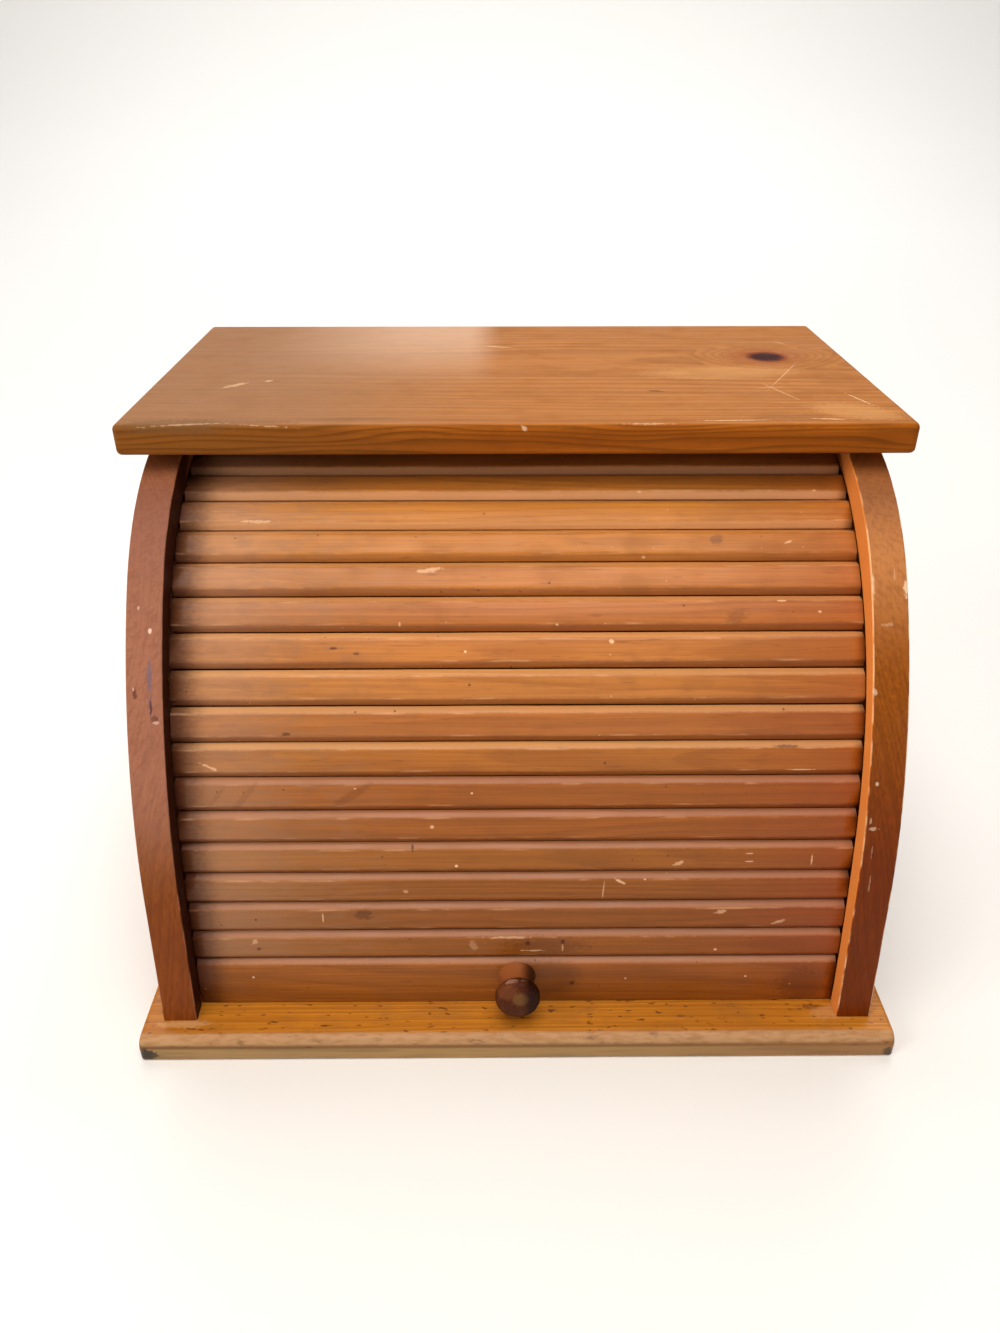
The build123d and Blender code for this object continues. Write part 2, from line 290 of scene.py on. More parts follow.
def grain_noise(tree, local, along, across, seed=0.0, detail=2.0):
    """A soft noise with so many features per metre along the grain and across it."""
    moved = calc(tree, "ADD", local, (seed, 0.37 * seed, 0.11 * seed), "VectorMath")
    scaled = calc(tree, "MULTIPLY", moved, (along, across, across), "VectorMath")
    return add(tree, "TexNoise", {"Vector": scaled, "Scale": 1.0, "Detail": detail}).outputs


def growth_rings(tree, local, pith, tilt, ring, seed, knot=None):
    """How dark the year's line is, from 0 in early wood to 1 in late wood. Sizes are in mm and degrees."""
    wander = grain_noise(tree, local, 4, 18, seed, 1.5)["Color"]
    centred = calc(tree, "SUBTRACT", wander, (0.5, 0.5, 0.5), "VectorMath")
    shift = calc(tree, "MULTIPLY", centred, (0, ring_wander, ring_wander), "VectorMath")
    bent = calc(tree, "ADD", local, shift, "VectorMath")
    about_pith = add(tree, "Mapping", {"Vector": bent, "Location": (0, -pith[0] * mm, -pith[1] * mm),
                                       "Rotation": (0, radians(tilt[0]), radians(tilt[1]))}).outputs[0]
    per_ring = 1 / (ring * mm)
    in_rings = calc(tree, "MULTIPLY", about_pith, (0, per_ring, per_ring), "VectorMath")
    years = add(tree, "VectorMath", {0: in_rings}, operation="LENGTH").outputs["Value"]
    uneven = add(tree, "TexNoise", {"W": calc(tree, "MULTIPLY", years, year_change), "Scale": 1.0,
                                    "Detail": 1.0}, noise_dimensions="1D").outputs["Fac"]
    years = calc(tree, "ADD", years, calc(tree, "MULTIPLY", uneven, year_wander))
    if knot is not None:
        near_knot = calc(tree, "SUBTRACT", local, [v * mm for v in knot], "VectorMath")
        squeezed = calc(tree, "MULTIPLY", near_knot, knot_shape, "VectorMath")
        distance = add(tree, "VectorMath", {0: squeezed}, operation="LENGTH").outputs["Value"]
        bend = times(tree, soft_step(tree, distance, knot_from, knot_to), knot_years)
        years = calc(tree, "ADD", years, bend)
    phase = calc(tree, "FRACT", years)
    return times(tree, soft_step(tree, phase, 0.25, 0.85), soft_step(tree, phase, 1.0, 0.92))


print("pine figure: growth rings, fibres and resin canals")

# %% [markdown]
# A layer of a finish is a colour and a mask that says where it lies. Each function here returns such a
# mask, which a material later builds from its tree, the piece's own coordinates and a fine grit that
# roughens outlines. Marks such as knots, scratches, chips and stains are small ellipsoids with a ragged
# outline, set where they lie on the piece, in millimetres. A speck field scatters many tiny dots.

# %% Masks
outline_from, outline_to = 1.3, 0.7    # parts of a mark's radius that its outline fades in between


def marked(*marks):
    """The strongest of several marks. A mark is (place, size, turn in degrees, raggedness, strength)."""
    def build(tree, local, grit):
        total = 0.0
        for at, size, turn, ragged, strength in marks:
            centred = add(tree, "Mapping", {"Vector": local, "Location": [v * mm for v in at],
                                            "Rotation": (0, 0, radians(turn)),
                                            "Scale": [v * mm / 2 for v in size]}, vector_type="TEXTURE")
            radius = add(tree, "VectorMath", {0: centred.outputs[0]}, operation="LENGTH").outputs["Value"]
            radius = calc(tree, "ADD", radius, times(tree, grit, 2 * ragged))
            total = calc(tree, "MAXIMUM", total, times(
                tree, soft_step(tree, radius, outline_from, outline_to), strength))
        return total
    return build


def specks(spacing, size, share, seed, amount):
    """Small round specks: paint, dust in the varnish, or pin pricks. Spacing and size are in mm."""
    def build(tree, local, grit):
        moved = calc(tree, "ADD", local, (seed, 1.7 * seed, 0), "VectorMath")
        cells = add(tree, "TexVoronoi", {"Vector": moved, "Scale": 1 / (spacing * mm)},
                    voronoi_dimensions="2D")
        chosen = add(tree, "SeparateColor", {"Color": cells.outputs["Color"]})
        squared = calc(tree, "POWER", chosen.outputs["Green"], 2.0)
        radius = calc(tree, "MULTIPLY", squared, 0.5 * size / spacing)
        dot = calc(tree, "LESS_THAN", cells.outputs["Distance"], radius)
        return times(tree, dot, calc(tree, "LESS_THAN", chosen.outputs["Red"], share), amount)
    return build


def streaks(along, across, seed, detail, low, high):
    """Blotches or streaks: noise with so many features per metre, stepped from low to high."""
    return lambda tree, local, grit: soft_step(
        tree, grain_noise(tree, local, along, across, seed, detail)["Fac"], low, high)


def facing(axis, low, high):
    """How far the surface faces along a world axis, stepped from low to high."""
    return lambda tree, local, grit: soft_step(
        tree, part_of(tree, add(tree, "TexCoord").outputs["Normal"], axis), low, high)


def span(axis, start, end):
    """0 at start and 1 at end, in mm, along one of the piece's own axes."""
    return lambda tree, local, grit: soft_step(tree, part_of(tree, local, axis), start * mm, end * mm)


def where(amount, *masks):
    """Where all of several masks hold, as strong as the amount says."""
    return lambda tree, local, grit: times(tree, *[mask(tree, local, grit) for mask in masks], amount)


print("masks: marks, specks, streaks, facings and spans")

# %% [markdown]
# The whole finish comes together here. The colour starts from pale early wood and dark late wood, is
# dimmed by fibres, canals and broad patches of tone, and then takes its layers of wear, grime and marks.
# The varnish is thin, old and satin: a light coat over a base whose roughness wanders. The bump is only
# the slight ridging of the grain under it, and bare wood lies a little lower than the varnish.

# %% Varnished pine
resin = "#5b3013"
smeared = "#6f4226"
smooth_varnish, dull_varnish, bare_wood = 0.32, 0.5, 0.65    # roughness
bump_height = 0.25 * mm


def varnished_pine(name, place, early, late, pith, tilt, *, ring, seed, contrast, dull, patch, layers, bare,
                   knot=None, shine=0.2, coat=0.1):
    """Varnished pine on one piece. Layers and bare are (colour, mask), and bare ones are worn to the wood."""
    material, tree, shader = new_material(name)
    local = local_place(tree, place)
    rings = growth_rings(tree, local, pith, tilt, ring, seed, knot)
    fibres = grain_noise(tree, local, 14, 800, seed, 3.0)["Fac"]
    canals = grain_noise(tree, local, 70, 900, seed + 3)["Fac"]
    tone = grain_noise(tree, local, 6, 16, seed + 7, 3.0)["Fac"]
    smear = grain_noise(tree, local, 45, 60, seed + 11, 4.0)["Fac"]
    grit = calc(tree, "SUBTRACT", grain_noise(tree, local, 380, 600, seed + 13, 3.0)["Fac"], 0.5)

    colour = over(tree, times(tree, rings, contrast), linear(early), linear(late))
    for value, low, high, amount, tint in (
            (fibres, 0.40, 0.60, 0.36, late), (canals, 0.62, 0.74, 0.35, resin),
            (tone, 0.40, 0.66, patch, dull), (smear, 0.5, 0.7, 0.2, smeared)):
        colour = over(tree, times(tree, soft_step(tree, value, low, high), amount), colour, linear(tint))
    for layer_colour, mask, *blend in layers:
        colour = over(tree, mask(tree, local, grit), colour, linear(layer_colour), *blend)
    worn = 0.0
    for layer_colour, mask in bare:
        amount = mask(tree, local, grit)
        colour = over(tree, amount, colour, linear(layer_colour))
        worn = calc(tree, "MAXIMUM", worn, amount)
    rough = add(tree, "MapRange", {"Value": smear, "From Min": 0.35, "From Max": 0.65,
                                   "To Min": smooth_varnish, "To Max": dull_varnish}).outputs[0]
    rough = add(tree, "Mix", {0: worn, 2: rough, 3: bare_wood}).outputs[0]

    height = calc(tree, "ADD", times(tree, rings, 0.5), times(tree, fibres, 0.6))
    height = calc(tree, "ADD", height, times(tree, smear, 0.9))
    height = calc(tree, "SUBTRACT", height, times(tree, worn, calc(tree, "ADD", grit, 0.6), 1.2))
    bump = add(tree, "Bump", {"Height": height, "Strength": 0.4, "Distance": bump_height})
    feed(tree, shader, {"Base Color": colour, "Roughness": rough, "Normal": bump.outputs["Normal"],
                        "IOR": 1.5, "Specular IOR Level": shine, "Coat Weight": coat, "Coat Roughness": 0.25})
    return material


print("varnished pine ready")

# %% [markdown]
# The top board was cut close under the bark, so that its face shows wide, quiet figure and one dark
# knot near the back right, with the grain bent round it. Years of use have scratched it. Its front edge
# is darker and yellower, painted shade lies on its underside, and the front arris is rubbed in places.
# A painted reflection greys the face towards the left, and a painted sheen lies on its left half.

# %% Top board
top_place = board_place("top_board")
face = 8.5                        # of the face above the board's middle, in mm
knot_at = (164, 24, face)
edge_year = 3.6 * mm              # from one dark line to the next on the front edge
edge_wave = 6.0                   # how many lines the noise may lift them by
top_haze = [((128, -14, face), (90, 26, 8), 4, 0.6, 0.2), ((186, -92, face), (46, 26, 8), -20, 0.7, 0.22)]
top_grime = [
    ((-182, -112, face), (64, 13, 10), 3, 1.2, 0.65), ((-150, -110, face), (60, 6, 10), 2, 1.2, 0.4),
    ((-143, -30, face), (6, 3, 6), 0, 0.9, 0.5), ((150, -101, face), (40, 6, 6), 0, 1.2, 0.35),
    ((-90, -104, face), (50, 4, 6), 2, 1.3, 0.4),
]
top_scrapes = [
    ((-165, -39, face), (15, 4.4, 4), 42, 1.4, 0.35), ((-147, -30, face), (5, 2.6, 4), 10, 1.1, 0.5),
    ((-8, 51, face), (16, 2.0, 4), -12, 0.8, 0.55), ((154, -54, face), (38, 0.9, 4), -68, 0.7, 0.4),
    ((164, -20, face), (62, 0.8, 4), 62, 0.7, 0.35), ((150, -46, face), (20, 0.8, 4), 12, 0.7, 0.35),
    ((3, -113, 6), (7, 2.0, 2.6), -35, 1.0, 0.55), ((-176, -112, 8), (40, 0.8, 3), 3, 1.8, 0.3),
    ((-130, -113, 8), (26, 0.7, 3), -3, 1.8, 0.3), ((182, 60, face), (9, 1.0, 4), -50, 0.6, 0.5),
    ((70, -112, 7), (22, 1.2, 4), 0, 1.6, 0.35), ((116, -108, 8), (30, 1.4, 6), 2, 1.3, 0.5),
    ((168, -106, 8), (16, 1.6, 6), -8, 1.2, 0.5), ((195, -70, 8), (24, 1.2, 6), -70, 1.2, 0.5),
]


def top_edge_lines(tree, local, grit):
    """The dark year lines that the front edge of the board cuts through, long and wavy."""
    wave = times(tree, grain_noise(tree, local, 7, 60, 44.0, 1.5)["Fac"], edge_wave)
    years = calc(tree, "ADD", wave, times(tree, part_of(tree, local, "Z"), 1 / edge_year))
    phase = calc(tree, "FRACT", years)
    return times(tree, soft_step(tree, phase, 0.35, 0.9), soft_step(tree, phase, 1.0, 0.93))


top_front = facing("Y", -0.35, -0.75)
top_sheen = [span("X", -4, -30), span("X", -190, -50), span("Y", -60, 90), facing("Z", 0.5, 0.9)]
top_layers = [
    ("#7e6048", where(0.6, span("X", 20, -170))),    # painted reflection, greying the face towards the left
    ("#dabba2", where(0.4, *top_sheen)),    # painted sheen of reflected light
    ("#e9c97e", top_front, "MULTIPLY"),
    ("#4f2c08", where(0.5, top_edge_lines, top_front)),
    ("#7a4217", where(0.5, facing("Z", -0.2, -0.7))),    # painted shade on the underside
    ("#dba86c", marked(*top_haze)),
    ("#8a4517", marked((knot_at, (52, 40, 20), 0, 0.3, 0.45))),    # the knot, from its halo inwards
    ("#6e260c", marked((knot_at, (25, 25, 20), 0, 0.2, 0.95))),
    ("#300a03", marked((knot_at, (21, 19, 20), 10, 0.4, 1.0))),
    ("#6e3c18", marked(((82, -53, face), (9, 3.4, 6), -15, 0.8, 0.8))),
    ("#6a4a2c", marked(*top_grime)),
]
paint(nodes["top_board"], varnished_pine(
    "varnished_pine_top", top_place, "#a96c33", "#814a1c", (10, -70), (0.8, 0.5),
    ring=4.6, seed=2.3, contrast=0.5, dull="#95602f", patch=0.3, layers=top_layers,
    bare=[("#e0bc98", marked(*top_scrapes))], knot=knot_at, shine=0.03, coat=0.0))
print("top board painted, knot at", knot_at)

# %% [markdown]
# The base board is the same pine, bright and orange on top, where crumbs have pitted it with dark specks.
# Its front roundover has been rubbed bare and grey by years of wiping and dragging. Both front corners
# have taken up a black stain, the left one more.

# %% Base board
base_place = board_place("base_board")
base_top = 7.75                   # of the face above the board's middle, in mm
least_bare, more_bare = 0.28, 0.42    # of the wood that shows on the roundover, and what mottling adds
base_pits = [
    ((-112, -151, base_top), (9, 2.4, 5), 6, 1.0, 0.8), ((-30, -154, base_top), (7, 2.6, 5), 0, 1.0, 0.8),
    ((64, -157, base_top), (14, 2.6, 5), -4, 1.2, 0.7), ((172, -163, base_top), (12, 4, 5), 5, 1.3, 0.6),
]
base_dust = [((-192, -173, base_top), (26, 5, 5), 0, 0.9, 0.4),
             ((186, -166, base_top), (30, 10, 5), 10, 0.9, 0.25)]
base_stains = [((-213, -183, -3), (16, 13, 10), 20, 0.7, 0.9), ((213, -184, -4), (7, 7, 9), 0, 0.7, 0.7)]


def base_mottle(tree, local, grit):
    """How bare the front roundover has been rubbed."""
    mottle = streaks(110, 420, 9.0, 6.0, 0.66, 0.40)(tree, local, grit)
    return calc(tree, "ADD", times(tree, mottle, more_bare), least_bare)


base_front = facing("Y", -0.4, -0.8)
base_lip = facing("Y", -0.1, -0.3)
base_layers = [
    ("#987d50", where(0.8, base_front)),
    ("#8a5a34", where(0.6, base_lip, facing("Z", 0.1, 0.3))),
    ("#5c4a2c", where(0.35, streaks(16, 260, 27.0, 3.0, 0.48, 0.62), base_front)),
    ("#5a3a1c", where(0.6, facing("Z", 0.08, 0.25), facing("Z", 0.62, 0.4), base_lip)),
    ("#86562a", where(0.6, span("X", 40, 190), base_front)),
    ("#4f2711", where(0.8, streaks(130, 420, 4.0, 2.0, 0.635, 0.69), facing("Z", 0.1, 0.4))),    # fine pits
    ("#5d2b10", marked(*base_pits)),
    ("#14120d", marked(*base_stains)),
]
base_bare = [("#b58c62", where(1.0, facing("Z", 0.3, 0.6), facing("Y", -0.05, -0.3), base_mottle)),
             ("#c49b72", marked(*base_dust))]
paint(nodes["base_board"], varnished_pine(
    "varnished_pine_base", base_place, "#bc7720", "#8d4f11", (40, -70), (0.7, -0.6), ring=3.6,
    seed=5.1, contrast=0.45, dull="#8e5010", patch=0.45, layers=base_layers, bare=base_bare))
print("base board painted")

# %% [markdown]
# The side panels stand with their grain upright, so that their own coordinates are turned to lay X along
# the board's height. They were cut flat, so the rings run almost parallel to the faces and show on the
# front edge as long upright lines. The varnish on the arrises has worn to a pale line, most of all on the
# right. The strip of the right panel's inner face that shows is the brightest orange of the box, painted
# as light falling on it, and the left one is painted in dark shade. On the fronts, painted shade lies
# under the top board. The left panel has a pale painted reflection at mid height, and the right one has a
# painted highlight higher up. The groove floors are painted lighter against the shade in them.

# %% Side panels
panel_half_height = 147 * mm
panel_half_depth = 177.9 * mm
curve_square, curve_sixth = 1.27, 54.0    # how the front edge runs back with its height, in metres
strip_from, strip_to = 34 * mm, 22 * mm    # behind the front edge, where the shown strip begins and is full
groove_floor_x = 193.3 * mm
floor_reading = 0.5 * mm          # how far from there a point still belongs to the groove's floor


def panel_place(name):
    """The middle of a side panel, turned so that X runs up the grain and Z points along -X."""
    low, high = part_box(name)
    turn = Matrix(((0, 0, -1), (0, 1, 0), (1, 0, 0))).to_euler()
    return (low + high) / 2, tuple(turn)


def panel_arris(tree, local, grit):
    """The small rounding between the front edge and the faces."""
    side = calc(tree, "ABSOLUTE", part_of(tree, add(tree, "TexCoord").outputs["Normal"], "X"))
    return times(tree, soft_step(tree, side, 0.15, 0.4), soft_step(tree, side, 0.97, 0.85))


def front_strip(tree, local, grit):
    """The strip of a panel's inner face in front of the groove, which shows when the box is shut."""
    up = calc(tree, "ADD", part_of(tree, local, "X"), panel_half_height)
    front_curve = calc(tree, "ADD", times(tree, calc(tree, "POWER", up, 2.0), curve_square),
                       times(tree, calc(tree, "POWER", up, 6.0), curve_sixth))
    behind_foot = calc(tree, "ADD", part_of(tree, local, "Y"), panel_half_depth)
    return soft_step(tree, calc(tree, "SUBTRACT", behind_foot, front_curve), strip_from, strip_to)


def slanting_strokes(angle):
    """Short dark strokes where the curved front edge cuts across the grain."""
    def build(tree, local, grit):
        slanted = add(tree, "Mapping", {"Vector": local, "Rotation": (0, radians(angle), 0)})
        return streaks(20, 420, 41.0, 3.0, 0.42, 0.7)(tree, slanted.outputs["Vector"], grit)
    return build


def groove_floor(tree, local, grit):
    """The bottom of the routed groove, painted lighter against the shade in it."""
    coordinates = add(tree, "TexCoord").outputs
    across = calc(tree, "ABSOLUTE", part_of(tree, coordinates["Object"], "X"))
    sideways = calc(tree, "ABSOLUTE", part_of(tree, coordinates["Normal"], "X"))
    near_floor = add(tree, "Math", {0: across, 1: groove_floor_x, 2: floor_reading}, operation="COMPARE")
    return times(tree, near_floor.outputs[0], calc(tree, "GREATER_THAN", sideways, 0.9))


# Places on the panels: up the grain from the middle, back from it, and to its left
left_stain = [((54, -124.5, -2.9), (18, 13, 2.6), 0, 0.8, 0.6),
              ((41, -131.5, -3.2), (11, 11, 2.0), 0, 1.2, 0.4)]
left_dots = [
    ((40, -132, -3.4), (7, 11, 1.2), 0, 1.0, 0.7), ((35, -135, -5.2), (3, 11, 4), 0, 1.2, 0.5),
    ((46, -130, 4.8), (5, 11, 2), 0, 1.2, 0.6), ((-60, -161, 4), (3, 8, 1.6), 0, 0.6, 0.5),
]
left_chips = [
    ((74.6, -112.7, -3.3), (2.4, 8, 1.8), 0, 0.5, 0.75), ((49, -129, 5.6), (2, 9, 1), 0, 1.1, 0.5),
    ((84.7, -105.7, 2.9), (1.6, 7, 1.2), 0, 0.5, 0.4), ((33, -136, -6), (1.6, 8, 2.6), 0, 1.2, 0.4),
]
right_chips = [
    ((91.6, -100.6, -8.4), (7, 11, 2.2), 0, 1.2, 0.75), ((46, -129.9, 8.6), (3, 9, 2), 0, 1.2, 0.5),
    ((97.4, -95.9, -2.8), (6, 8, 0.8), 0, 1.2, 0.22), ((76.2, -111.7, 1.8), (1.4, 8, 6), 0, 1.8, 0.22),
    ((93.3, -99.3, 8.6), (10, 10, 1.2), 0, 1.2, 0.5), ((1.2, -149.8, 5.4), (2.2, 8, 1.6), 0, 0.9, 0.55),
    ((-23, -157.5, 5.4), (2, 9, 4), 0, 1.8, 0.4), ((-19, -156, 7), (4, 9, 1), 0, 1.6, 0.35),
    ((-37, -161.6, 4.6), (7, 8, 0.7), 0, 1.4, 0.2), ((-56, -165.6, 3.4), (9, 8, 0.7), 0, 1.4, 0.2),
]
panel_front = facing("Y", -0.2, -0.6)
worn_stretches = streaks(60, 60, 21.0, 3.0, 0.42, 0.58)
left_layers = [
    # painted shade on the strip of the left panel's inner face
    ("#2e0e05", where(0.96, facing("X", 0.5, 0.9), front_strip)),
    # pale painted reflection on the front at mid height
    ("#a6766a", where(0.45, span("X", -70, 10), panel_front)),
    # painted shade under the top board
    ("#5a2c1c", where(0.35, span("X", 60, 140), panel_front)),
    ("#e0b460", where(0.7, span("X", -10, -90), panel_front), "MULTIPLY"),
    # groove floor painted lighter against its shade
    ("#8a4a20", where(0.7, groove_floor)),
    ("#54260f", where(0.2, slanting_strokes(-35), panel_front)),
    ("#5c586c", marked(*left_stain)),
    ("#3c1a10", marked(*left_dots)),
]
left_bare = [("#b9785a", where(0.3, panel_arris, worn_stretches)), ("#e8c4b4", marked(*left_chips))]
right_layers = [
    # painted light on the strip of the right panel's inner face
    ("#f8984a", where(0.85, facing("X", -0.5, -0.9), front_strip)),
    # painted highlight on the upper front
    ("#c98650", where(0.58, span("X", 50, 105), panel_front)),
    # painted shade under the top board
    ("#5a3428", where(0.6, span("X", 104, 138), panel_front)),
    ("#cca458", where(1.0, span("X", 60, -50), panel_front), "MULTIPLY"),
    # groove floor painted lighter against its shade
    ("#ffd9a0", where(0.9, groove_floor)),
    ("#54290e", where(0.26, slanting_strokes(30), panel_front)),
]
right_bare = [("#ecba8a", where(0.6, panel_arris, worn_stretches)), ("#dec0a0", marked(*right_chips))]
paint(nodes["left_side_panel"], varnished_pine(
    "varnished_pine_left_panel", panel_place("left_side_panel"), "#90541f", "#6a380f", (-90, 75),
    (1.0, 2.0), ring=3.0, seed=8.7, contrast=0.35, dull="#6b3b24", patch=0.3,
    layers=left_layers, bare=left_bare, shine=0.08, coat=0.03))
paint(nodes["right_side_panel"], varnished_pine(
    "varnished_pine_right_panel", panel_place("right_side_panel"), "#8f4c10", "#693506", (-95, -75),
    (-1.0, 3.0), ring=3.0, seed=11.9, contrast=0.35, dull="#6e3a14", patch=0.35,
    layers=right_layers, bare=right_bare, shine=0.08, coat=0.03))
print("side panels painted")

# %% [markdown]
# A slat is a narrow strip with both face arrises chamfered. On the construction model they are dead
# straight. The real ones were machined, glued and sanded by hand, so a copy of each slat is merged into
# one clean skin, its long front arrises are rounded by a bevel, and cuts across it let a slow noise bend
# it by a tenth of a millimetre or two. The copy then replaces the slat that it was made from.

# %% Softened slats
arris_round = 1.1 * mm            # between the face and a chamfer
side_round = 0.3 * mm             # between a chamfer and a side
side_stretch = 0.19 * mm          # each long side moves out by this, which narrows the joints
end_stretch = 0.42 * mm           # each shoulder moves out by this, up to the panel
cut_spacing = 6 * mm
bend_height = 0.22 * mm
long_run = 0.2                    # an edge longer than this runs along the slat, in metres
front_from = 1 * mm               # what is higher than this above the back belongs to the front
near_plane = 0.5 * mm             # a point this near to the face or the back lies on it
crease = radians(38)              # edges that turn by more stay sharp


def clean_copy(name):
    """A copy of a construction piece's mesh, merged into one skin of whole flat faces."""
    bm = bmesh.new()
    bm.from_mesh(nodes[name].data)
    bmesh.ops.remove_doubles(bm, verts=bm.verts, dist=0.002 * mm)
    bmesh.ops.dissolve_limit(bm, angle_limit=radians(0.5), verts=bm.verts, edges=bm.edges)
    return bm


def cut_across(bm, reach, count):
    """Cut a piece across into so many lengths, from -reach to reach."""
    for i in range(1, count):
        x = -reach + 2 * reach * i / count
        bmesh.ops.bisect_plane(bm, geom=bm.verts[:] + bm.edges[:] + bm.faces[:], dist=0.001 * mm,
                               plane_co=(x, 0, 0), plane_no=(1, 0, 0))


def long_edges(bm, into_local, above):
    """The edges that run the length of a slat, turn the surface and lie above a height over its back."""
    return [edge for edge in bm.edges if edge.calc_length() > long_run and len(edge.link_faces) == 2
            and edge.calc_face_angle(0) > radians(20)
            and all((into_local @ v.co).z > above for v in edge.verts)]


def round_edges(bm, edges, radius, segments):
    """Round some edges by a bevel."""
    bmesh.ops.bevel(bm, geom=edges, offset=radius, offset_type="OFFSET", segments=segments, profile=0.5,
                    affect="EDGES", material=-1)


def softened(name, place, seed):
    """A copy of a slat or rail with rounded arrises and a slight, slow unevenness."""
    bm = clean_copy(name)
    outwards = slat_to_frame(place)
    into_local = outwards.inverted()
    face_from = max((into_local @ v.co).z for v in bm.verts) - near_plane
    on_face = long_edges(bm, into_local, face_from)
    sides = [edge for edge in long_edges(bm, into_local, front_from) if edge not in on_face]
    round_edges(bm, sides, side_round, 2)
    round_edges(bm, long_edges(bm, into_local, face_from), arris_round, 4)
    shoulder = max(abs(v.co.x) for v in bm.verts if (into_local @ v.co).z < near_plane)
    widest = max(abs((into_local @ v.co).y) for v in bm.verts)
    cut_across(bm, shoulder, int(2 * shoulder / cut_spacing))
    out_of_face = outwards.to_3x3() @ Vector((0, 0, 1))
    up_the_face = outwards.to_3x3() @ Vector((0, 1, 0))
    for v in bm.verts:
        spot = into_local @ v.co
        if abs(abs(spot.x) - shoulder) < 0.01 * mm:
            v.co.x += end_stretch if v.co.x > 0 else -end_stretch
        elif abs(spot.x) < shoulder and spot.z > front_from:
            if abs(abs(spot.y) - widest) < 0.05 * mm:
                v.co += up_the_face * (side_stretch if spot.y > 0 else -side_stretch)
            slow = noise.noise(Vector((spot.x * 14, seed, 0.0)))
            quick = noise.noise(Vector((spot.x * 70, spot.y * 60, seed)))
            v.co += out_of_face * (bend_height * (0.6 * slow + 0.4 * quick))
            sway = noise.noise(Vector((spot.x * 22, spot.y * 80, seed + 9)))
            v.co += up_the_face * (bend_height * 0.7 * sway)
    piece = new_piece(f"{name}_wood", bm, smooth=True)
    piece.data.set_sharp_from_angle(angle=crease)
    return piece


print("slats are cut every", cut_spacing / mm, "mm")

# %% [markdown]
# The masks for a slat's wear, darkening and painted light follow its section. The arrises beside its face
# have lost their varnish in broken stretches, the slats are darker deep in the gaps, and a painted
# reflection greys them in blotches towards the left.

# %% Slat masks
slat_chamfer = 3.2 * mm
slat_half = 9.2 * mm              # of a slat's height
slat_face = 8.0                   # of a mark's middle above the slat's back, in mm
drawn_length, drawn_height = 0.8, 0.7    # of a mark, since its ragged outline reaches past it


def chamfer_mask(half, side, amount):
    """The upper (side 1) or lower (side -1) chamfer of a slat."""
    def build(tree, local, grit):
        up = times(tree, part_of(tree, local, "Y"), float(side))
        ragged = calc(tree, "ADD", up, times(tree, grit, 1.0 * mm))
        start = half - slat_chamfer
        return times(tree, soft_step(tree, ragged, start - 0.5 * mm, start + 1.2 * mm), amount)
    return build


def slat_arris(tree, local, grit):
    """Along a slat's two front arrises."""
    off_middle = calc(tree, "ABSOLUTE", part_of(tree, local, "Y"))
    beside = calc(tree, "SUBTRACT", off_middle, slat_half - slat_chamfer)
    return soft_step(tree, calc(tree, "ABSOLUTE", beside), 0.9 * mm, 0.1 * mm)


def along_slat(start, end, amount):
    """A tint with a ragged outline that grows along the slat from start to end, in mm."""
    def build(tree, local, grit):
        ragged = calc(tree, "ADD", part_of(tree, local, "X"), times(tree, grit, 6 * mm))
        return times(tree, soft_step(tree, ragged, start * mm, end * mm), amount)
    return build


def slat_marks(marks):
    """Marks on a slat's face, given as (along, up, length, height, turn, raggedness, strength) in mm."""
    return marked(*[((x, up, slat_face), (drawn_length * length, drawn_height * height, 7), turn, ragged,
                     strength) for x, up, length, height, turn, ragged, strength in marks])


# The slats are darker deep in the gaps.
darker_in_gaps = where(0.2, span("Z", 5.4, 4.0))
# painted reflection towards the left
left_reflection = span("X", -30, -140)
print("slat wear follows a chamfer of", slat_chamfer / mm, "mm")
